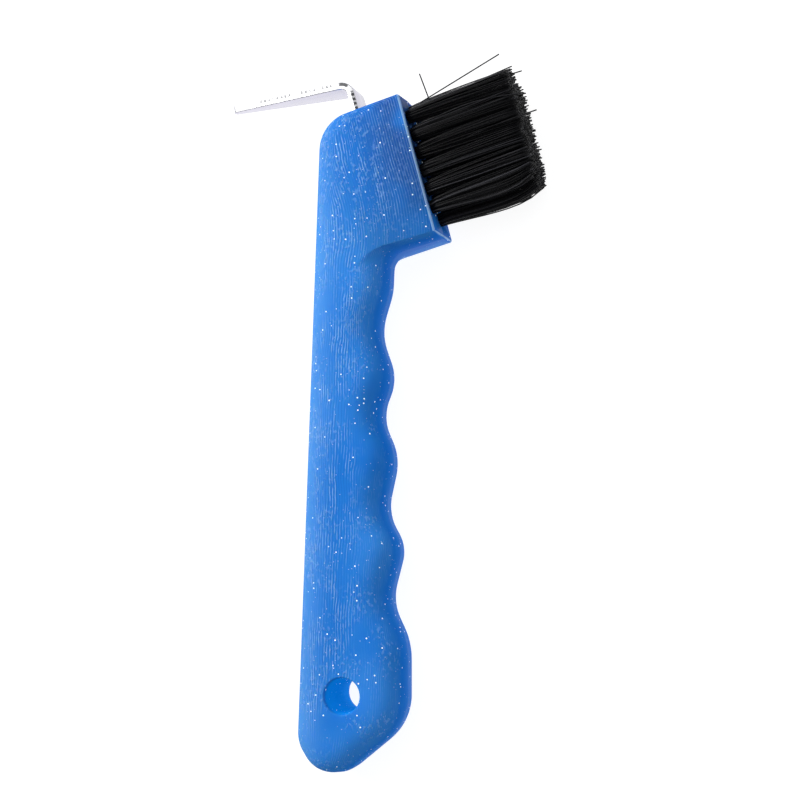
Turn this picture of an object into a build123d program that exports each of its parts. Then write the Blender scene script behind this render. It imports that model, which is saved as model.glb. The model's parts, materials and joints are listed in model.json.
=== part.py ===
"""Hoof pick with a brush: a moulded handle with finger grooves and a hanging hole, a bent steel pick
moulded into its head, and nineteen bristle tufts, each held in its hole by a flat wire anchor."""

import math
import os

from build123d import *

os.makedirs("parts", exist_ok=True)

# Driving dimensions, in millimetres and degrees. The tool lies on its flat side: +X points from the
# spine to the brush, +Y along the handle towards the head, +Z up through its thickness. Places on
# the handle are given as across from the spine and up from the butt.
origin_across = 15.767
origin_up = 84.404
handle_thickness = 22.0
edge_round = 7.0
moulding_draft = 4.0
spine_corner_round = 10.0
neck_across = 18.1
grip_top_depth = 5.0

# Grip corners as (across, up, radius), from the neck down over four finger grooves to the butt. Its top
# end is square and lies inside the head block.
grip_corners = [
    (17.9, 116.0, 15.0),
    (15.2, 106.0, 13.5),
    (19.7, 94.5, 12.0),
    (16.2, 85.4, 10.5),
    (21.0, 75.5, 14.0),
    (18.5, 62.0, 11.0),
    (23.4, 53.9, 9.5),
    (20.4, 40.6, 11.5),
    (25.4, 31.0, 18.0),
    (26.05, 11.8, 14.0),
    (11.3, -1.0, 7.8),
    (4.3, -0.05, 7.8),
    (0.0, 6.4, 9.0),
]

# Head block, square to the brush face.
face_across = 25.97
face_up = 145.87
head_tilt = 17.0
face_length = 34.9
face_thickness = 18.0
block_depth = 19.0
block_draft = 3.0
block_edge_round = 0.6
block_spare_height = 5.5
neck_round = 4.5
top_flare = 4.0

# Hanging hole, narrowest on the parting plane.
hole_across = 12.5
hole_up = 18.2
hole_radius = 3.5
hole_mouth_radius = 4.45
hole_land = 3.0
hole_rim_round = 0.35

# Pick: a stamped steel strip with one bend and a taper to its tip, seen as its outer corner.
pick_across = 7.6
pick_up = 167.1
pick_thickness = 1.8
pick_width = 9.5
tip_width = 2.2
tip_round = 0.9
arm_droop = 8.6
arm_length = 32.0
shank_tilt = 18.0
shank_length = 35.5
bend_round = 3.5
notch_radius = 1.2
notch_spacing = 6.0
notch_from_end = 5.0

# Brush: three staggered rows of tufts, the middle row with one tuft more.
middle_tufts = 7
tuft_pitch = 4.64
first_tuft_inset = 3.15
row_spacing = 5.4
tuft_radius = 1.5
tuft_tip_radius = 2.0
tuft_clearance = 0.04
bristle_length = 26.6
socket_depth = 6.5
tip_gather = 0.96
tip_shift = 0.75
tip_spread = 1.22

# Anchor: a flat wire that folds a tuft in half and bites into the wall of its socket.
anchor_length = 3.5
anchor_thickness = 0.35
anchor_height = 1.6
anchor_depth = 5.0

# Working planes: the parting plane, and the brush face with its x up the face and its y up (+Z).
half_thickness = handle_thickness / 2
parting = Plane(origin=(-origin_across, -origin_up, half_thickness))
tilt = math.radians(head_tilt)
out_of_face = Vector(math.cos(tilt), math.sin(tilt), 0)
up_face = Vector(-math.sin(tilt), math.cos(tilt), 0)
face_origin = parting.from_local_coords(Vector(face_across, face_up, 0))
brush_face = Plane(origin=face_origin, x_dir=up_face, z_dir=out_of_face)

# The block's ends are drafted from the parting plane. Its top meets the spine in a corner.
draft_rise = math.tan(math.radians(block_draft))
block_half = face_length / 2 + face_thickness / 2 * draft_rise
tall_block = half_thickness + block_spare_height
tall_half = block_half - tall_block * draft_rise
thinning = math.atan2((handle_thickness - face_thickness) / 2, block_depth)
hole_centre = parting.from_local_coords(Vector(hole_across, hole_up, 0))
spine_top = face_up + block_half * math.cos(tilt)
spine_top -= (face_across - block_half * math.sin(tilt)) * math.tan(tilt)


def is_wall(face):
    """A face square to the parting plane, before it is drafted."""
    return abs(face.normal_at().Z) < 0.01


def is_round_the_grip(edge):
    """An edge of the block's underside that runs round the grip, clear of the parting plane."""
    place = parting.to_local_coords(edge.center())
    return place.Z > 1 and -1 < place.X < neck_across and edge.length < face_length


def is_on_brush_face(edge):
    """An edge of the brush face, but not the one on the parting plane."""
    place = brush_face.to_local_coords(edge.center())
    return abs(place.Z) < 0.01 and place.Y > 1


def is_hole_rim(edge):
    """A mouth of the hanging hole."""
    at_hole = (edge.arc_center - hole_centre).length < half_thickness + 0.1
    return at_hole and hole_radius + 0.1 < edge.radius < hole_mouth_radius + 0.1


def tuft_places():
    """Where each tuft leaves the brush face, as (up the face, across it)."""
    first = face_length / 2 - first_tuft_inset
    middle = [(first - i * tuft_pitch, 0) for i in range(middle_tufts)]
    outer = [
        (first - (i + 0.5) * tuft_pitch, side * row_spacing)
        for side in (1, -1)
        for i in range(middle_tufts - 1)
    ]
    return middle + outer


# Pick: its side profile is one strip, bent; its width is then cut to the tapered shape of the arm.
corner = Vector(pick_across, pick_up, 0)
to_tip = Vector(-math.cos(math.radians(arm_droop)), -math.sin(math.radians(arm_droop)), 0)
down_shank = Vector(math.sin(math.radians(shank_tilt)), -math.cos(math.radians(shank_tilt)), 0)
tip = corner + to_tip * arm_length
shank_end = corner + down_shank * shank_length
arm_plane = Plane(origin=parting.from_local_coords(tip), x_dir=-to_tip, z_dir=(-to_tip.Y, to_tip.X, 0))
shank_plane = Plane(
    origin=parting.from_local_coords(shank_end), x_dir=-down_shank, z_dir=(-down_shank.Y, down_shank.X, 0)
)

with BuildPart() as pick:
    with BuildSketch(parting):
        with BuildLine():
            FilletPolyline(tip, corner, shank_end, radius=bend_round)
            offset(amount=pick_thickness, side=Side.RIGHT)
        make_face()
    extrude(amount=pick_width / 2, both=True)
    with BuildSketch(arm_plane):
        with BuildLine():
            FilletPolyline(
                (0, tip_width / 2),
                (arm_length - bend_round, pick_width / 2),
                (arm_length + shank_length, pick_width / 2),
                (arm_length + shank_length, -pick_width / 2),
                (arm_length - bend_round, -pick_width / 2),
                (0, -tip_width / 2),
                radius=[tip_round, bend_round, 0, 0, bend_round, tip_round],
                close=True,
            )
        make_face()
    extrude(amount=shank_length * 2, both=True, mode=Mode.INTERSECT)
    # Notches that lock the shank in the moulding.
    with BuildSketch(shank_plane):
        with Locations((notch_from_end, 0), (notch_from_end + notch_spacing, 0)):
            with GridLocations(0, pick_width, 1, 2):
                Circle(notch_radius)
    extrude(amount=2 * pick_thickness, both=True, mode=Mode.SUBTRACT)
pick.part.label = "pick"
export_step(pick.part, "parts/pick.step")

places = tuft_places()
anchors = []
for number, (up, across) in enumerate(places, start=1):
    with BuildPart(brush_face) as anchor:
        with Locations((up, across, -anchor_depth)):
            Box(anchor_length, anchor_thickness, anchor_height)
    anchor.part.label = f"anchor_{number:02d}"
    export_step(anchor.part, f"parts/{anchor.part.label}.step")
    anchors.append(anchor.part)

    with BuildPart() as tuft:
        with BuildSketch(brush_face):
            with Locations((up, across)):
                Circle(tuft_radius - tuft_clearance)
        with BuildSketch(brush_face.offset(bristle_length)):
            with Locations((up * tip_gather + tip_shift, across * tip_spread)):
                Circle(tuft_tip_radius)
        loft()
        with BuildSketch(brush_face):
            with Locations((up, across)):
                Circle(tuft_radius - tuft_clearance)
        extrude(amount=-socket_depth)
        add(anchor.part, mode=Mode.SUBTRACT)
    tuft.part.label = f"tuft_{number:02d}"
    export_step(tuft.part, f"parts/{tuft.part.label}.step")

# Everything above the parting plane is one half of the moulding. The envelope rounds the half's spine
# and top; that rounding runs out towards the brush face, where the top edge is sharp.
with BuildPart() as envelope:
    with BuildSketch(parting):
        with BuildLine():
            FilletPolyline(
                (0, -face_up),
                (0, spine_top),
                (face_up, spine_top + face_up * math.tan(tilt + math.radians(top_flare))),
                (face_up, -face_up),
                radius=[0, spine_corner_round, 0, 0],
                close=True,
            )
        make_face()
    extrude(amount=half_thickness)
    draft(envelope.faces().filter_by(is_wall), neutral_plane=parting, angle=moulding_draft)
    fillet(envelope.faces().sort_by(Axis.Z)[-1].edges(), edge_round)

with BuildPart() as handle:
    # Grip: a rounded bar, with its front buried in the head block above the neck.
    with BuildSketch(parting):
        with BuildLine():
            FilletPolyline(
                (0, spine_top - grip_top_depth),
                (neck_across, spine_top - grip_top_depth),
                *[(across, up) for across, up, _ in grip_corners],
                radius=[0, 0] + [corner for _, _, corner in grip_corners],
                close=True,
            )
        make_face()
    extrude(amount=half_thickness)
    draft(handle.faces().filter_by(is_wall), neutral_plane=parting, angle=moulding_draft)
    fillet(handle.faces().sort_by(Axis.Z)[-1].edges(), edge_round)

    # Head block: made too tall and too deep, so that the neck's fillet runs right round the grip.
    with BuildSketch(brush_face):
        with BuildLine():
            Polyline(
                (block_half, 0),
                (tall_half, tall_block),
                (-tall_half, tall_block),
                (-block_half, 0),
                close=True,
            )
        make_face()
    extrude(amount=-2 * face_length)
    underside = handle.faces().filter_by(GeomType.PLANE).sort_by(lambda f: f.normal_at().dot(up_face))[0]
    fillet(underside.edges().filter_by(is_round_the_grip), neck_round)
    add(envelope.part, mode=Mode.INTERSECT)

    # The head thins towards the brush face.
    side_edge = brush_face.from_local_coords(Vector(0, face_thickness / 2, 0))
    side_normal = out_of_face * math.sin(thinning) + Vector(0, 0, math.cos(thinning))
    split(bisect_by=Plane(origin=side_edge, x_dir=up_face, z_dir=side_normal), keep=Keep.BOTTOM)
    fillet(handle.edges().filter_by(is_on_brush_face), block_edge_round)
    mirror(about=parting)

    # Hanging hole: a short cylindrical land with a flare to each side.
    with BuildSketch(Plane(origin=hole_centre, x_dir=(1, 0, 0), z_dir=(0, -1, 0))):
        with BuildLine():
            Polyline(
                (0, -half_thickness),
                (hole_mouth_radius, -half_thickness),
                (hole_radius, -hole_land / 2),
                (hole_radius, hole_land / 2),
                (hole_mouth_radius, half_thickness),
                (0, half_thickness),
                close=True,
            )
        make_face()
    revolve(axis=Axis(hole_centre, (0, 0, 1)), mode=Mode.SUBTRACT)
    fillet(handle.edges().filter_by(GeomType.CIRCLE).filter_by(is_hole_rim), hole_rim_round)

    # Sockets for the tufts, and the room that the anchors and the pick's shank take up.
    with BuildSketch(brush_face):
        with Locations(*places):
            Circle(tuft_radius)
    extrude(amount=-socket_depth, mode=Mode.SUBTRACT)
    add(anchors, mode=Mode.SUBTRACT)
    add(pick.part, mode=Mode.SUBTRACT)

handle.part.label = "handle"
export_step(handle.part, "parts/handle.step")
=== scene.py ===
# %% [markdown]
# # A hoof pick with a brush
#
# The tool has three finishes to learn from: a translucent blue moulding full of glitter, a plated
# steel pick with sheared edges, and a brush of more than a thousand nylon filaments. The packed model
# gives every place. This first cell loads it and keeps its box, because the finished pieces must fill
# the same space.

import json
import math

import bmesh
import bpy
import numpy as np
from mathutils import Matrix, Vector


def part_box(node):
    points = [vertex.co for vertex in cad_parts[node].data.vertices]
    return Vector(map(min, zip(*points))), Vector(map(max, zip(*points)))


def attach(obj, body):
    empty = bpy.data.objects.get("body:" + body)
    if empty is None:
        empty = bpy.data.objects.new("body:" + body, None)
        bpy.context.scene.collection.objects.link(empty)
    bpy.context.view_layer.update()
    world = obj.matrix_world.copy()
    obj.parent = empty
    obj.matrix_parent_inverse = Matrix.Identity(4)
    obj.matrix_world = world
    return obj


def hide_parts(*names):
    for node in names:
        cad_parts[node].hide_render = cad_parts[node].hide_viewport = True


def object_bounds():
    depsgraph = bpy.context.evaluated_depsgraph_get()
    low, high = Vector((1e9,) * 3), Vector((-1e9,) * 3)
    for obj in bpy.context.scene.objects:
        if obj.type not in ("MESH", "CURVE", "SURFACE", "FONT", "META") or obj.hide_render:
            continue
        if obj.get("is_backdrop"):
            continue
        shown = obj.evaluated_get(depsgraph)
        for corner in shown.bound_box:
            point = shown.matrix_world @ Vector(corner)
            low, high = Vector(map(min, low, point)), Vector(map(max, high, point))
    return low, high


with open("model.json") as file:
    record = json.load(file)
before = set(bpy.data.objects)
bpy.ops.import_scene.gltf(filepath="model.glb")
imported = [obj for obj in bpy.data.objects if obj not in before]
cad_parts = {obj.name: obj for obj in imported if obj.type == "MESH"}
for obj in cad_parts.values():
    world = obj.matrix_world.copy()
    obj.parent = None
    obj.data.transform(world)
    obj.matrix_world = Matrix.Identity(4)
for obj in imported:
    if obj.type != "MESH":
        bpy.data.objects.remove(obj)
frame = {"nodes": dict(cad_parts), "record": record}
cad_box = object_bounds()
MM = 0.001
print("CAD box in mm:", [[round(v / MM, 2) for v in corner] for corner in cad_box])

# %% [markdown]
# ## Directions on the head
#
# The brush face leans back by 17 degrees, so two directions are used again and again: out of the
# face, along the filaments, and up the face. Each tuft's solid is a straight column. Its lowest and
# highest rings, measured along the outward direction, give the middle of its root and of its tip.

# %% Directions, and the two ends of every tuft
HEAD_TILT = math.radians(17)
OUT = np.array([math.cos(HEAD_TILT), math.sin(HEAD_TILT), 0.0])
UP = np.array([-math.sin(HEAD_TILT), math.cos(HEAD_TILT), 0.0])
ACROSS = np.array([0.0, 0.0, 1.0])
SOCKET_DEPTH = 6.5 * MM


def points_of(node):
    """A CAD node's corners as one array, a row for each."""
    mesh = frame["nodes"][node].data
    flat = np.empty(len(mesh.vertices) * 3, np.float32)
    mesh.vertices.foreach_get("co", flat)
    return flat.reshape(-1, 3).astype(float)


def middle(points):
    """The middle of the box round some points."""
    return (points.min(axis=0) + points.max(axis=0)) / 2


def tuft_ends(node):
    """The middles of the rings that are lowest and highest along OUT."""
    points = points_of(node)
    height = points @ OUT
    root = middle(points[height < height.min() + 0.05 * MM])
    tip = middle(points[height > height.max() - 0.05 * MM])
    return root + OUT * SOCKET_DEPTH, tip


tuft_names = sorted(name for name in frame["nodes"] if name.startswith("tuft"))
ends = {name: tuft_ends(name) for name in tuft_names}
roots = np.array([ends[name][0] for name in tuft_names])
FACE_LEVEL = float((roots @ OUT).mean())
BRUSH = roots.mean(axis=0)
print(len(ends), "tufts; the middle of their roots is", (BRUSH / MM).round(3), "mm from the origin")

# %% [markdown]
# ## Camera
#
# The tool lies flat and is seen from almost straight above, from a little to the brush's side and a
# little below the middle, so the camera leans by 15 degrees about the tool's length and by a few
# about the other axes. A long lens from half a metre keeps the sides nearly parallel.

# %% Camera
camera_data = bpy.data.cameras.new("camera")
camera_data.lens = 92.7
camera_data.sensor_width = 36
camera_data.clip_start = 0.01
camera = bpy.data.objects.new("camera", camera_data)
camera.location = BRUSH + np.array([125.95, -95.74, 479.6]) * MM
camera.rotation_euler = (math.radians(4.97), math.radians(15.05), math.radians(1.97))
bpy.context.scene.collection.objects.link(camera)
bpy.context.scene.camera = camera
print("camera", [round(v, 3) for v in camera.location], "lens", camera_data.lens)

# %% [markdown]
# ## Shader sums as plain expressions
#
# A node tree for glitter or flow lines is mostly arithmetic. Wrapping a socket in a small class lets
# that arithmetic be written as Python: `1 - mask` adds a Math node. Every other node comes from one
# method, which takes the kind of node, its settings and its inputs.


# %% A socket that can be added and multiplied
class Wire:
    """A node's output. Sums on it add Math nodes, and node() adds a node of any other kind."""

    def __init__(self, socket):
        self.socket = socket

    def node(self, kind, inputs=None, output=0, **settings):
        """Add a node, give it its settings, then give its inputs their values or links."""
        tree = self.socket.id_data
        added = tree.nodes.new("ShaderNode" + kind)
        for name, value in settings.items():
            setattr(added, name, value)
        for name, value in (inputs or {}).items():
            if isinstance(value, Wire):
                tree.links.new(value.socket, added.inputs[name])
            else:
                added.inputs[name].default_value = value
        return Wire(added.outputs[output])

    def math(self, operation, first, second=0.0):
        return self.node("Math", {0: first, 1: second}, operation=operation)

    def __add__(self, other):
        return self.math("ADD", self, other)

    def __sub__(self, other):
        return self.math("SUBTRACT", self, other)

    def __rsub__(self, other):
        return self.math("SUBTRACT", other, self)

    def __mul__(self, other):
        return self.math("MULTIPLY", self, other)

    __radd__ = __add__
    __rmul__ = __mul__

    def sine(self):
        return self.math("SINE", self)

    def root(self):
        return self.math("SQRT", self)

    def size(self):
        return self.math("ABSOLUTE", self)

    def at_most(self, other):
        return self.math("MINIMUM", self, other)

    def at_least(self, other):
        return self.math("MAXIMUM", self, other)

    def fade(self, start, end):
        """A smooth step from 0 at start to 1 at end, which may be the lower of the two."""
        limits = {"Value": self, "From Min": start, "From Max": end}
        return self.node("MapRange", limits, interpolation_type="SMOOTHSTEP")

    def noise(self, scale, detail=2.0, stretch=None):
        """Noise of about one wave in 1/scale metres, read at this place, which is scaled by stretch first."""
        place = self
        if stretch is not None:
            place = self.node("Mapping", {"Vector": self, "Scale": stretch})
        return place.node("TexNoise", {"Vector": place, "Scale": scale, "Detail": detail})

    def never_below(self, least):
        """This mask, with its 0 raised to least."""
        return self * (1 - least) + least

    def mix(self, low, high):
        """The colour low where this is 0, and high where it is 1."""
        return self.node("Mix", {0: self, 6: low, 7: high}, output=2, data_type="RGBA")

    def along(self, direction):
        """How far this place lies along a direction."""
        return self.node("VectorMath", {0: self, 1: tuple(direction)}, 1, operation="DOT_PRODUCT")


print("Wire can", ", ".join(name for name in vars(Wire) if not name.startswith("_")))


# %% A material's starting wires
def start_material(name):
    """An empty material with one Principled BSDF. Gives the material, the shader and a place wire."""
    material = bpy.data.materials.new(name)
    material.use_nodes = True
    tree = material.node_tree
    tree.nodes.clear()
    shader = tree.nodes.new("ShaderNodeBsdfPrincipled")
    output = tree.nodes.new("ShaderNodeOutputMaterial")
    tree.links.new(shader.outputs[0], output.inputs["Surface"])
    place = Wire(tree.nodes.new("ShaderNodeTexCoord").outputs["Object"])
    return material, shader, place


def feed(shader, **values):
    """Set or link the shader's inputs, named with underscores for spaces."""
    for name, value in values.items():
        socket = shader.inputs[name.replace("_", " ")]
        if isinstance(value, Wire):
            shader.id_data.links.new(value.socket, socket)
        else:
            socket.default_value = value


def raised(height, distance, **more):
    """A bump whose height is the wire's value times distance, in metres."""
    return height.node("Bump", {"Height": height, "Distance": distance, **more})


print("start_material, feed and raised are ready")

# %% [markdown]
# ## Blue moulding
#
# The handle is a cheap, soft, translucent plastic. Four things make it look real. The colour drifts
# between a deeper and a paler blue, and a painted sheen makes it palest along the spine. Fine raised
# flow lines, two thirds of a millimetre apart, follow the way the melt ran: along the grip, then
# bending to lie along the brush face. Glitter flakes sit at all depths, so only some reach the
# surface. And the dark bristles in their sockets show through the last centimetre of the head. Light
# enters the plastic a little way, which softens its edges.
#
# Every mask below is a sum on the point's own place. The first cell also makes a softened normal: on
# a side it leans towards the nearer flat, more the further the point is from the parting plane, so
# that a side shades like the crown of a bar and not like a strip between two rounded edges.

# %% Handle finish: where on the handle a point is
plastic, plastic_shader, place = start_material("blue_glitter_plastic")
x = place.along((1, 0, 0))
y = place.along((0, 1, 0))
z = place.along((0, 0, 1))
MIDDLE_Z = 11 * MM
SIDE_LEAN = 0.9
HEAD_FROM = 33 * MM
HEAD_FULL = 62 * MM
SPINE_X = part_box("handle")[0][0]
HOLE = [mount["pos_m"] for mount in frame["record"]["mounts"] if mount["name"] == "hang_hole"][0]
HOLE_MOUTH = 4.45 * MM
face_depth = FACE_LEVEL - place.along(OUT)
in_head = y.fade(HEAD_FROM, HEAD_FULL)
hole_x = x - HOLE[0]
hole_y = y - HOLE[1]
in_hole = (hole_x * hole_x + hole_y * hole_y).root().fade(HOLE_MOUTH, HOLE_MOUTH - 0.25 * MM)
normal = Wire(place.socket.node.outputs["Normal"])
lean = (z - MIDDLE_Z) * (SIDE_LEAN / MIDDLE_Z) * face_depth.fade(0.6 * MM, 2.5 * MM) * (1 - in_hole)
leaning = {0: normal.along((1, 0, 0)), 1: normal.along((0, 1, 0)), 2: normal.along((0, 0, 1)) + lean}
soft_normal = normal.node("CombineXYZ", leaning)
soft_normal = soft_normal.node("VectorMath", {0: soft_normal}, operation="NORMALIZE")
on_flat = soft_normal.along((0, 0, 1)).size().fade(0.35, 0.95)
print("spine at x =", round(SPINE_X / MM, 2), "mm, hole at", [round(v / MM, 2) for v in HOLE[:2]], "mm")

# %% [markdown]
# A flow line is the crest of a sine wave of the distance across the flow. Noise bends the lines a
# little, and breaks them up twice: into patches a centimetre across, and into dashes. Past a flat,
# the drop from it counts towards the distance, so the lines keep their spacing down the walls. Where
# the melt tumbled, in the middle of the head above all, the lines dissolve into crumbs.

# %% Handle finish: flow lines
LINE_SPACING = 0.68 * MM
LINE_TURN = 48 * MM
EDGE_FLOW = 0.9
wander = place.noise(90, 2.0) - 0.5
jitter = place.noise(900, 2.0, stretch=(1, 0.3, 1)) - 0.5
turned = x * OUT[0] + (y - LINE_TURN) * OUT[1]
by_face = face_depth.fade(12 * MM, 5 * MM)
off_line = (wander * (1.6 * MM) + jitter * (0.5 * MM)) * (1 - by_face * 0.75)
near_spine = (x - SPINE_X).fade(11 * MM, 7 * MM)
round_the_edge = ((z - MIDDLE_Z).size() - MIDDLE_Z) * (near_spine * (2 * EDGE_FLOW) - EDGE_FLOW)
across_flow = x + round_the_edge + (turned - x) * in_head + off_line
wave = (across_flow * (2 * math.pi / LINE_SPACING)).sine()
print("flow lines every", round(LINE_SPACING / MM, 2), "mm")

# %% Handle finish: where the lines show, and the crumbs
broken = place.noise(520, 3.0, stretch=(1, 0.2, 1)).fade(0.42, 0.56)
broken = broken * place.noise(1500, 1.0, stretch=(1, 0.35, 1)).fade(0.36, 0.48)
patchy = place.noise(75, 2.0).fade(0.32, 0.55)
lines = wave.fade(0.25, 0.95) * broken.at_least(by_face * 0.45) * patchy.at_least(by_face * 0.6)
smooth_side = (x - SPINE_X).fade(17 * MM, 10 * MM).at_least(in_head)
smooth_butt = y.fade(-80 * MM, -64 * MM)
line_zone = on_flat.never_below(0.15) * smooth_side.never_below(0.2) * smooth_butt.never_below(0.2)
line_zone = line_zone * (1 - by_face * 0.4)
lines = lines * line_zone
# Painted shade: the troughs between the raised lines are painted darker.
groove_shade = wave.fade(-0.1, -0.8) * line_zone * patchy.at_least(by_face * 0.6)
crumb_patches = (place.noise(130, 1.0) + in_head * 0.10).fade(0.44, 0.60)
crumbs = place.noise(1500, 2.0, stretch=(1, 0.6, 1)).fade(0.54, 0.64)
crumbs = crumbs * crumb_patches * on_flat * (1 - by_face * 0.6)
print("lines, gaps and crumbs are masks from 0 to 1")

# %% Handle finish: glitter
def flakes(spacing, radius, share, place):
    """Round flakes: 1 within radius of a Voronoi cell's point, in a share of cells of that spacing."""
    cell = {"Vector": place, "Scale": 1 / spacing}
    near = place.node("TexVoronoi", cell, 0) * spacing
    chance = place.node("TexVoronoi", cell, 1).along((1, 0, 0))
    return near.fade(radius, radius * 0.7) * chance.fade(1 - share, 1 - share + 0.01)


big_flakes = flakes(1.75 * MM, 0.20 * MM, 0.66, place)
small_flakes = flakes(1.15 * MM, 0.13 * MM, 0.7, place)
print("two sizes of glitter")

# %% [markdown]
# The colours go on in layers, each laid over the last by its own mask: the cloudy body, a painted
# sheen along the spine, painted shade on the sides, the shadow of the bristles, then painted shade in
# the gaps between the lines, painted highlights on the lines, a painted highlight on the corner round
# the brush face, and the glitter on top.

# %% Handle finish: body colours, painted sheen on the spine and painted shade on the sides
DEEP_BLUE = (0.010, 0.178, 0.640, 1)
PALE_BLUE = (0.055, 0.290, 0.780, 1)
SIDE_SHADE_BLUE = (0.001, 0.140, 0.640, 1)
SHADOW_BLUE = (0.022, 0.080, 0.290, 1)
SPINE_SHEEN_BLUE = (0.115, 0.330, 0.740, 1)
ROOTS_ABOVE_MIDDLE = 0.38 * MM
cloudy = place.noise(38, 3.0).fade(0.2, 0.8)
colour = (cloudy * 0.8).mix(DEEP_BLUE, PALE_BLUE)
# Painted sheen: the side by the spine is painted paler, where the light's sheen falls, less so on the head.
spine_sheen = (x - SPINE_X).fade(11 * MM, 1 * MM) * (1 - in_head * 0.5)
colour = (spine_sheen * 0.6).mix(colour, SPINE_SHEEN_BLUE)
# Painted shade: where the surface turns from the flat to the sides, it is painted a deeper blue.
colour = ((1 - on_flat) * 0.8).mix(colour, SIDE_SHADE_BLUE)
face_height = place.along(UP) - float(BRUSH @ UP) + ROOTS_ABOVE_MIDDLE
behind_bristles = face_depth.fade(17 * MM, 2 * MM) * place.noise(130, 1.0).fade(0.10, 0.55)
behind_bristles = behind_bristles * in_head * face_height.fade(-17 * MM, -9 * MM)
colour = (behind_bristles * 0.75 + in_head * 0.15).mix(colour, SHADOW_BLUE)
print("five body blues")

# %% Handle finish: painted shade between the lines, painted highlights on lines and corner, glitter
LINE_HIGHLIGHT_BLUE = (0.29, 0.53, 0.95, 1)
GROOVE_SHADE_BLUE = (0.004, 0.110, 0.480, 1)
RIM_HIGHLIGHT_BLUE = (0.45, 0.68, 1.0, 1)
FLAKE_AND_GLINT_WHITE = (0.85, 0.96, 1.0, 1)
HALF_FACE = 17.45 * MM
# Painted highlight: a pale line along the rounded corner round the brush face and along its low edge.
front_rim_highlight = face_depth.fade(0.6 * MM, 0.4 * MM) * (z - MIDDLE_Z).size().fade(8.4 * MM, 8.65 * MM)
from_low_rim = (face_height + HALF_FACE).size()
low_rim_highlight = face_depth.fade(0.4 * MM, 0.2 * MM) * from_low_rim.fade(0.3 * MM, 0.1 * MM)
rim_highlight = front_rim_highlight.at_least(low_rim_highlight) * place.noise(300, 2.0).fade(0.20, 0.45)
colour = (groove_shade * 0.30).mix(colour, GROOVE_SHADE_BLUE)
# Painted highlights on the crests of the raised lines and on the crumbs.
colour = (lines * 0.72 + crumbs * 0.28).at_most(1.0).mix(colour, LINE_HIGHLIGHT_BLUE)
colour = (rim_highlight * 0.6).mix(colour, RIM_HIGHLIGHT_BLUE)
colour = (small_flakes * 0.45).mix(colour, FLAKE_AND_GLINT_WHITE)
colour = big_flakes.mix(colour, FLAKE_AND_GLINT_WHITE)
print("five layers over the body colours")

# %% Handle finish: relief, shine, and painted glow in the hole and on the flakes
# Painted light: the hole's wall glows blue, standing in for light coming through the plastic, and the big
# flakes glow white as a painted glint.
GLOW_BLUE = (0.0, 0.135, 0.24, 1)
seam = (z - MIDDLE_Z).size().fade(0.12 * MM, 0.02 * MM)
orange_peel = place.noise(260, 2.0)
glow = (in_hole * 0.8).mix((0, 0, 0, 1), GLOW_BLUE)
relief = lines * 1.2 + crumbs * 1.0 + seam * 0.9 + orange_peel * 0.5
feed(
    plastic_shader,
    Base_Color=colour,
    Roughness=0.38 + lines * 0.08 + cloudy * 0.06 + in_hole * 0.4,
    Specular_IOR_Level=0.08,
    Emission_Color=(big_flakes * 0.55).mix(glow, FLAKE_AND_GLINT_WHITE),
    Emission_Strength=1.0,
    IOR=1.14,
    Subsurface_Weight=0.35,
    Subsurface_Radius=(0.6, 1.6, 5.0),
    Subsurface_Scale=0.001,
    Normal=raised(relief, 0.09 * MM, Normal=soft_normal),
)
print("plastic nodes:", len(plastic.node_tree.nodes))

# %% [markdown]
# ## Handle
#
# The moulding's shape is already right, so it isn't drawn again. Its mesh is loose triangles, which
# shade as facets, so a copy is merged, its creases are marked by angle, and the copy stands for the
# original.


# %% Handle piece
def add_piece(name, mesh, material, slot, *nodes):
    """Put a finished mesh in the scene as a piece that stands for some CAD nodes."""
    piece = bpy.data.objects.new(name, mesh)
    bpy.context.scene.collection.objects.link(piece)
    mesh.materials.clear()
    mesh.materials.append(material)
    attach(piece, "root")
    if nodes:
        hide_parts(*nodes)


def merged_copy(node, crease_angle):
    """A copy of a CAD mesh, its corners joined, creased where faces turn by more than the angle."""
    mesh = frame["nodes"][node].data.copy()
    work = bmesh.new()
    work.from_mesh(mesh)
    bmesh.ops.remove_doubles(work, verts=work.verts, dist=0.001 * MM)
    work.to_mesh(mesh)
    work.free()
    mesh.shade_smooth()
    mesh.set_sharp_from_angle(angle=math.radians(crease_angle))
    return mesh


handle_mesh = merged_copy("handle", 30)
add_piece("handle_moulding", handle_mesh, plastic, "handle_plastic", "handle")
print("handle:", len(handle_mesh.vertices), "corners,", len(handle_mesh.polygons), "faces")

# %% [markdown]
# ## Pick
#
# The pick is stamped from strip and bent once. A stamping's edge has two bands: smooth where the
# punch cut, and torn where the strip broke away. The piece is one cross-section carried along the
# bent line, with two attributes on its points, how far along the strip they are and how far through
# its thickness, so that the finish can follow the bend.

# %% Pick: its outer line
STRIP_THICKNESS = 1.8 * MM
STRIP_WIDTH = 9.5 * MM
TIP_WIDTH = 2.2 * MM
TIP_ROUND = 0.9 * MM
ARM_LENGTH = 32 * MM
SHANK_SHOWN = 12 * MM
BEND_RADIUS = 3.5 * MM
ARM_ANGLE = math.radians(8.6)
SHANK_ANGLE = math.radians(18)
CORNER = BRUSH + np.array([-18.259, 20.867, 0.0]) * MM
FROM_TIP = np.array([math.cos(ARM_ANGLE), math.sin(ARM_ANGLE), 0.0])
DOWN_SHANK = np.array([math.sin(SHANK_ANGLE), -math.cos(SHANK_ANGLE), 0.0])
bend_turn = math.acos(float(FROM_TIP @ DOWN_SHANK))
bend_cut = BEND_RADIUS * math.tan(bend_turn / 2)


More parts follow.
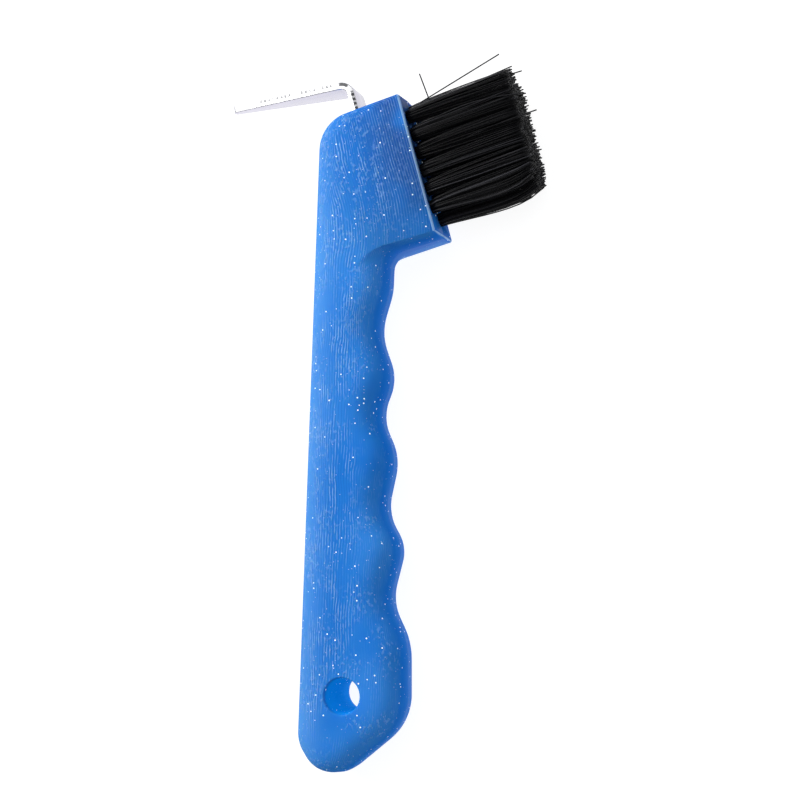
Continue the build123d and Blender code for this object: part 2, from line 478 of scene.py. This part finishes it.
def outer_line(distance):
    """Place, heading and outward normal at each distance from the tip: straight, an arc, straight.

    The heading and the normal turn by (distance - arc_start) / BEND_RADIUS. On the arc, a place is
    the centre plus BEND_RADIUS times the normal. Before it, it is stepped back along FROM_TIP, and
    after it, on along the heading.
    """
    arc_start = ARM_LENGTH - bend_cut
    turn = np.clip((distance - arc_start) / BEND_RADIUS, 0, bend_turn)
    before = np.minimum(distance, arc_start)
    after = np.maximum(distance - arc_start - BEND_RADIUS * bend_turn, 0)
    side = np.array([-FROM_TIP[1], FROM_TIP[0], 0.0])
    heading = np.cos(turn)[:, None] * FROM_TIP - np.sin(turn)[:, None] * side
    normal = np.cos(turn)[:, None] * side + np.sin(turn)[:, None] * FROM_TIP
    centre = CORNER - FROM_TIP * bend_cut - side * BEND_RADIUS
    on_arc = centre + normal * BEND_RADIUS
    return on_arc - FROM_TIP * (arc_start - before)[:, None] + heading * after[:, None], heading, normal


def half_width(distance):
    """Half the strip's width: a straight taper to full width near the bend, less a round tip.

    The tip takes off TIP_ROUND - root(TIP_ROUND**2 - inward**2), where inward is how far the place
    is short of TIP_ROUND from the tip.
    """
    full_from = ARM_LENGTH - BEND_RADIUS
    taper = TIP_WIDTH + (STRIP_WIDTH - TIP_WIDTH) * np.clip(distance / full_from, 0, 1)
    inward = np.clip(TIP_ROUND - distance, 0, TIP_ROUND)
    return taper / 2 - TIP_ROUND + np.sqrt(TIP_ROUND**2 - inward**2)


print("the bend turns", round(math.degrees(bend_turn), 1), "degrees")


# %% Pick: its surface
def grid_faces(rows, columns):
    """Quads of a grid of points, rows along and columns round: (row, column) to (row + 1, column + 1)."""
    row, column = np.meshgrid(np.arange(rows - 1), np.arange(columns), indexing="ij")
    here = row * columns
    ahead = here + columns
    beside = (column + 1) % columns
    return np.stack([here + column, here + beside, ahead + beside, ahead + column], -1).reshape(-1, 4)


def mesh_from(name, points, quads, ends=()):
    """A smooth mesh from arrays of points and quads, and lists of corners for any end faces."""
    mesh = bpy.data.meshes.new(name)
    mesh.from_pydata(points.reshape(-1, 3).tolist(), [], quads.tolist() + [list(end) for end in ends])
    mesh.validate()
    mesh.shade_smooth()
    return mesh


def set_attribute(mesh, name, values):
    """Store one number a point, for the material to read."""
    numbers = np.ascontiguousarray(values, np.float32)
    mesh.attributes.new(name, "FLOAT", "POINT").data.foreach_set("value", numbers)


# %% Pick: cross-sections along it
EDGE_ROUND = 0.22 * MM
corner_turns = np.linspace(0, math.pi / 2, 5)
tip_steps = TIP_ROUND * (1 - np.cos(np.linspace(0.12, math.pi / 2, 9)))
bend_from = ARM_LENGTH - bend_cut
bend_to = bend_from + BEND_RADIUS * bend_turn
steps = np.concatenate([
    tip_steps,
    np.linspace(TIP_ROUND * 1.4, bend_from, 60),
    np.linspace(bend_from, bend_to, 26)[1:],
    np.linspace(bend_to, bend_to + SHANK_SHOWN, 26)[1:],
])
line, heading, outward = outer_line(steps)
wide = half_width(steps)
print(len(steps), "cross-sections")

# %% Pick piece: its mesh
# A rounded rectangle, as (through the thickness, across the width): each corner is a quarter circle.
quarters = [(0, 1), (math.pi / 2, 1), (math.pi, -1), (3 * math.pi / 2, -1)]
turns = np.concatenate([start + corner_turns for start, _ in quarters])
through_side = np.repeat([1, -1, -1, 1], len(corner_turns))
across_side = np.repeat([1, 1, -1, -1], len(corner_turns))
edge = np.minimum(EDGE_ROUND, wide * 0.6)[:, None]
through = through_side * (STRIP_THICKNESS / 2 - edge) + edge * np.cos(turns)
across = across_side * (wide[:, None] - edge) + edge * np.sin(turns)
strip = line[:, None, :] + outward[:, None, :] * (through - STRIP_THICKNESS / 2)[..., None]
strip = strip + ACROSS * across[..., None]
ring = len(turns)
strip_quads = grid_faces(len(steps), ring)
strip_ends = [range(ring)[::-1], range((len(steps) - 1) * ring, len(steps) * ring)]
pick_mesh = mesh_from("pick", strip, strip_quads, strip_ends)
set_attribute(pick_mesh, "along", np.repeat(steps / MM, ring))
set_attribute(pick_mesh, "through", (through / STRIP_THICKNESS + 0.5).ravel())
print("pick:", len(pick_mesh.polygons), "faces")

# %% [markdown]
# The plating is bright on the punched band and on the broad faces, which the rollers left faintly
# brushed; past the bend the broad faces carry painted shade. The torn band carries the teeth marks of
# the tool: black along the shank, one dark streak where the bend starts, and towards the tip only a
# row of grey dashes.

# %% Pick finish: the torn band
steel, steel_shader, place = start_material("plated_steel")
distance = place.node("Attribute", output=2, attribute_name="along")
depth = place.node("Attribute", output=2, attribute_name="through")
on_edge = Wire(place.socket.node.outputs["Normal"]).along((0, 0, 1)).size().fade(0.55, 0.85)
torn = on_edge * depth.fade(0.46, 0.54) * depth.fade(0.97, 0.90)
BEND_AT = float(bend_from / MM)
DASH_PITCH = 1.12
stripes = place.node("CombineXYZ", {0: distance * 0.9, 1: depth * 1.1, 2: 3.7})
uneven = stripes.noise(1.0, 1.5)
teeth = (distance * (2 * math.pi / DASH_PITCH) + uneven * 4).sine().fade(-0.55, 0.0)
streak = distance.fade(BEND_AT - 0.4, BEND_AT + 0.2) * distance.fade(BEND_AT + 2.9, BEND_AT + 2.3)
on_shank = distance.fade(BEND_AT + 4.3, BEND_AT + 4.8)
on_arm = distance.fade(3, 9) * distance.fade(BEND_AT - 1, BEND_AT - 2.5) * uneven.fade(0.30, 0.50)
pits = (streak * 0.85).at_least(teeth * (on_shank * 0.57 + on_arm * 0.62) + on_shank * 0.40) * torn
print("teeth every", DASH_PITCH, "mm, bend from", round(BEND_AT, 1), "mm")

# %% Pick finish: colour and shine
scratches = place.noise(900, 2.0, stretch=(0.15, 1, 1))
steel_colour = scratches.mix((0.56, 0.54, 0.64, 1), (0.68, 0.66, 0.74, 1))
# Painted shade: past the bend the broad faces are painted darker.
steel_colour = (distance.fade(BEND_AT + 1, BEND_AT + 4) * 0.5).mix(steel_colour, (0.38, 0.37, 0.43, 1))
steel_colour = on_edge.mix(steel_colour, (0.93, 0.93, 0.94, 1))
steel_colour = torn.mix(steel_colour, (0.52, 0.52, 0.53, 1))
steel_colour = pits.mix(steel_colour, (0.012, 0.012, 0.014, 1))
feed(
    steel_shader,
    Base_Color=steel_colour,
    Metallic=1.0 - pits * 0.7,
    Roughness=0.20 + scratches * 0.08 + torn * 0.10 + pits * 0.2,
    Normal=raised(scratches * 0.3 - pits, 0.05 * MM),
)
add_piece("pick_strip", pick_mesh, steel, "pick_steel", "pick")
print("steel nodes:", len(steel.node_tree.nodes))

# %% [markdown]
# ## Brush
#
# A tuft is a bundle of nylon filaments folded over a wire anchor. Each filament is its own
# five-sided tube of a few dozen faces. All the tubes of a tuft are one array: a start in the socket
# on a sunflower spiral, a tip on the same spiral spread wider, a small bow between, and a length that
# varies by a fraction of a millimetre, as a trimmed brush's does. The filaments at the low end of the
# brush have been pressed against a surface, so they sag a little and curl back at the tip.

# %% Brush: filaments
FILAMENTS = 68
FILAMENT_RADIUS = 0.165 * MM
SIDES = 5
LEVELS = 10
ROOT_SPREAD = 1.42 * MM
TIP_SPREAD = 2.45 * MM
GOLDEN_ANGLE = math.pi * (3 - math.sqrt(5))
LOW_EDGE = -8.0 * MM
LOW_RANGE = 5.0 * MM
ROOT_DEPTH = 1.2 * MM
FLATTENING = 0.2
rng = np.random.default_rng(7)


def tubes(paths, radius):
    """Tubes round many paths at once, as points, quads and end caps.

    A point is the path's point plus radius times (cos turn * first_way + sin turn * second_way),
    and the two ways are square to the path's heading there and to each other.
    """
    count, levels = paths.shape[:2]
    turn = (np.arange(SIDES) * (2 * math.pi / SIDES))[:, None]
    heading = np.gradient(paths, axis=1)
    first_way = np.cross(ACROSS, heading)
    first_way = (first_way / np.linalg.norm(first_way, axis=2, keepdims=True))[:, :, None, :]
    second_way = np.cross(heading, first_way[:, :, 0, :])
    second_way = (second_way / np.linalg.norm(second_way, axis=2, keepdims=True))[:, :, None, :]
    points = paths[:, :, None, :] + (np.cos(turn) * first_way + np.sin(turn) * second_way) * radius
    one = grid_faces(levels, SIDES)
    quads = one[None] + (np.arange(count) * levels * SIDES)[:, None, None]
    last = (np.arange(count)[:, None] + 1) * levels * SIDES - SIDES + np.arange(SIDES)
    first = np.arange(count)[:, None] * levels * SIDES + np.arange(SIDES)[::-1]
    return points, quads.reshape(-1, 4), np.concatenate([last, first]).tolist()


def scatter(size):
    """A random shift of each filament, square to OUT, with a spread of size millimetres each way."""
    return (UP * rng.normal(0, size, (FILAMENTS, 1)) + ACROSS * rng.normal(0, size, (FILAMENTS, 1))) * MM


def filament_paths(root, tip):
    """Lines from a root disc to a wider tip disc, each with its own bow and length.

    A place is the start, plus its share (part) of the rise along OUT, plus the lean times
    part**0.55, plus the bow times sin(pi * part), and plus the curl where the tip is low.
    """
    index = np.arange(FILAMENTS)
    radius = np.sqrt((index + 0.5) / FILAMENTS)
    angle = index * GOLDEN_ANGLE + rng.uniform(0, 2 * math.pi)
    disc = np.cos(angle)[:, None] * UP + np.sin(angle)[:, None] * ACROSS
    start = root - OUT * ROOT_DEPTH + disc * (radius * ROOT_SPREAD)[:, None]
    spread = (disc + ACROSS * np.sin(angle)[:, None] * FLATTENING) * (radius * TIP_SPREAD)[:, None]
    spread = spread + scatter(0.32)
    length = rng.normal(0, 0.42, (FILAMENTS, 1)) * MM
    finish = tip + spread + OUT * np.clip(length, -1.1 * MM, 0.8 * MM)
    bow = scatter(0.15)
    part = np.linspace(0, 1, LEVELS)[None, :, None]
    rise = OUT * ((finish - start) @ OUT)[:, None]
    lean = finish - start - rise
    low = np.clip(LOW_EDGE - (finish - BRUSH) @ UP, 0, LOW_RANGE)[:, None, None] / LOW_RANGE
    sag = 0.6 * part + 4.5 * part**2 * (1 - part) - 1.5 * part**8
    curl = (UP * -sag - OUT * part) * low * MM
    straight = start[:, None] + rise[:, None] * part
    return straight + lean[:, None] * part**0.55 + bow[:, None] * np.sin(math.pi * part) + curl


print("filaments in all:", FILAMENTS * len(tuft_names))

# %% [markdown]
# Black nylon is never quite one black. Each filament has its own shade, mostly dark with a few that
# are greyer and shinier, so neighbours part from each other. Their satin surface gives the long grey
# streaks that follow the tufts.

# %% Brush finish
nylon, nylon_shader, place = start_material("black_nylon")
shade = place.node("Attribute", output=2, attribute_name="shade")
dust = place.noise(500, 2.0, stretch=(0.3, 0.3, 1))
feed(
    nylon_shader,
    Base_Color=shade.mix((0.0015, 0.0015, 0.0020, 1), (0.040, 0.040, 0.046, 1)),
    Roughness=0.36 - shade * 0.12,
    Specular_IOR_Level=0.12,
    Normal=raised(dust, 0.01 * MM),
)
print("nylon nodes:", len(nylon.node_tree.nodes))

# %% Brush pieces
faces_made = 0
for name in tuft_names:
    paths = filament_paths(*ends[name])
    points, quads, caps = tubes(paths, FILAMENT_RADIUS)
    tuft_mesh = mesh_from(name, points, quads, caps)
    set_attribute(tuft_mesh, "shade", np.repeat(rng.uniform(0, 1, FILAMENTS) ** 4, LEVELS * SIDES))
    add_piece("filaments_" + name[-2:], tuft_mesh, nylon, "bristle_nylon", name)
    faces_made += len(tuft_mesh.polygons)
print("brush faces:", faces_made)

# %% [markdown]
# ## Stray filaments
#
# A few filaments have sprung out of line. Two leave the top row near the same place, one long and
# one short and bent right back. The others stand out at the tips. Each is a start, a finish and a
# push at mid-length, in millimetres from the middle of the roots.

# %% Stray filaments
STRAY_RADIUS = 0.17 * MM
STRAYS = [
    ((-0.8, 15.0, 4.0), (19.0, 25.7, 6.5), (0.0, 0.0, 0.0)),
    ((1.9, 14.8, 4.2), (-0.9, 21.9, 5.0), (0.0, 0.0, 0.0)),
    ((0.0, 13.0, 5.5), (22.3, 22.6, 6.8), (-0.1, 0.3, 0.0)),
    ((0.0, 14.0, -0.5), (23.4, 23.0, 0.4), (-0.2, 0.9, 0.0)),
    ((2.0, 10.0, 6.0), (25.2, 15.6, 8.8), (-0.5, 0.9, 0.9)),
    ((4.0, 2.0, 6.0), (29.0, 11.5, 8.6), (-0.4, 0.3, 0.9)),
]


def bowed_lines(lines):
    """Bowed lines: start + (finish - start) * part + push * sin(pi * part)."""
    start, finish, push = (np.array([line[i] for line in lines])[:, None, :] * MM for i in range(3))
    part = np.linspace(0, 1, 14)[None, :, None]
    return BRUSH + start + (finish - start) * part + push * np.sin(math.pi * part)


points, quads, caps = tubes(bowed_lines(STRAYS), STRAY_RADIUS)
stray_mesh = mesh_from("strays", points, quads, caps)
set_attribute(stray_mesh, "shade", np.full(len(stray_mesh.vertices), 0.3))
add_piece("stray_filaments", stray_mesh, nylon, "bristle_nylon")
print("strays:", len(STRAYS))

# %% [markdown]
# ## Anchors
#
# The flat wires that hold the tufts are hidden in the sockets. They stay as the CAD made them, with
# a finish of fine lines drawn along the wire.

# %% Anchor finish
wire_metal, wire_shader, place = start_material("drawn_wire")
drawn = place.noise(1400, 2.0, stretch=(0.2, 0.2, 1))
feed(
    wire_shader,
    Base_Color=drawn.mix((0.42, 0.40, 0.36, 1), (0.62, 0.60, 0.55, 1)),
    Metallic=1.0,
    Roughness=0.28 + drawn * 0.15,
    Normal=raised(drawn, 0.01 * MM),
)
anchor_names = [name for name in frame["nodes"] if name.startswith("anchor")]
for name in anchor_names:
    mesh = frame["nodes"][name].data
    mesh.materials.clear()
    mesh.materials.append(wire_metal)
print("anchors:", len(anchor_names))

# %% [markdown]
# ## Floor and light
#
# The tool lies on a white light table: the floor glows, so shadows almost vanish and the plastic's
# lower edges pick up a pale rim. A soft light from the upper left makes the spine the lighter side,
# and a larger, weaker one above fills the rest.

# %% Floor
FLOOR_HALF = 2.0
FLOOR_GAP = 0.2 * MM
floor_material, floor_shader, place = start_material("light_table")
feed(
    floor_shader,
    Base_Color=(0.2, 0.2, 0.2, 1),
    Roughness=0.9,
    Emission_Color=(1.0, 1.0, 1.0, 1),
    Emission_Strength=0.92,
)
floor_points = np.array([[-1, -1], [1, -1], [1, 1], [-1, 1]]) * FLOOR_HALF
floor_mesh = bpy.data.meshes.new("floor")
floor_mesh.from_pydata([(px, py, -FLOOR_GAP) for px, py in floor_points], [], [(0, 1, 2, 3)])
floor_mesh.materials.append(floor_material)
floor = bpy.data.objects.new("floor", floor_mesh)
bpy.context.scene.collection.objects.link(floor)
floor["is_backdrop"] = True
print("floor", 2 * FLOOR_HALF, "m square")


# %% Lights
def add_light(name, place, aim, side, power, colour=(1, 1, 1)):
    """A square area light at a place, turned to face a point."""
    data = bpy.data.lights.new(name, "AREA")
    data.size = side
    data.energy = power
    data.color = colour
    light = bpy.data.objects.new(name, data)
    light.location = place
    towards = Vector(aim) - Vector(place)
    light.rotation_euler = towards.to_track_quat("-Z", "Y").to_euler()
    bpy.context.scene.collection.objects.link(light)


add_light("key", (-0.42, 0.30, 0.42), (0, 0.02, 0.01), 0.35, 3.6)
add_light("top", (0.05, 0.25, 0.75), (0, 0.02, 0.01), 0.6, 1.8)

world = bpy.data.worlds.new("room")
world.use_nodes = True
world.node_tree.nodes["Background"].inputs["Color"].default_value = (0.94, 0.96, 1.0, 1)
world.node_tree.nodes["Background"].inputs["Strength"].default_value = 0.35
bpy.context.scene.world = world
bpy.context.scene.view_settings.view_transform = "Standard"
print("two soft lights and a pale room")

# %% [markdown]
# ## Finish
#
# The finished pieces' box is measured, and how far each of its sides lies from the CAD's box is printed.

# %% Measure the finished box against the CAD box
finished_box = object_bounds()
growth = [round(abs(finished_box[k][i] - cad_box[k][i]) / MM, 2) for k in (0, 1) for i in range(3)]
print("finished box differs in mm by", growth)
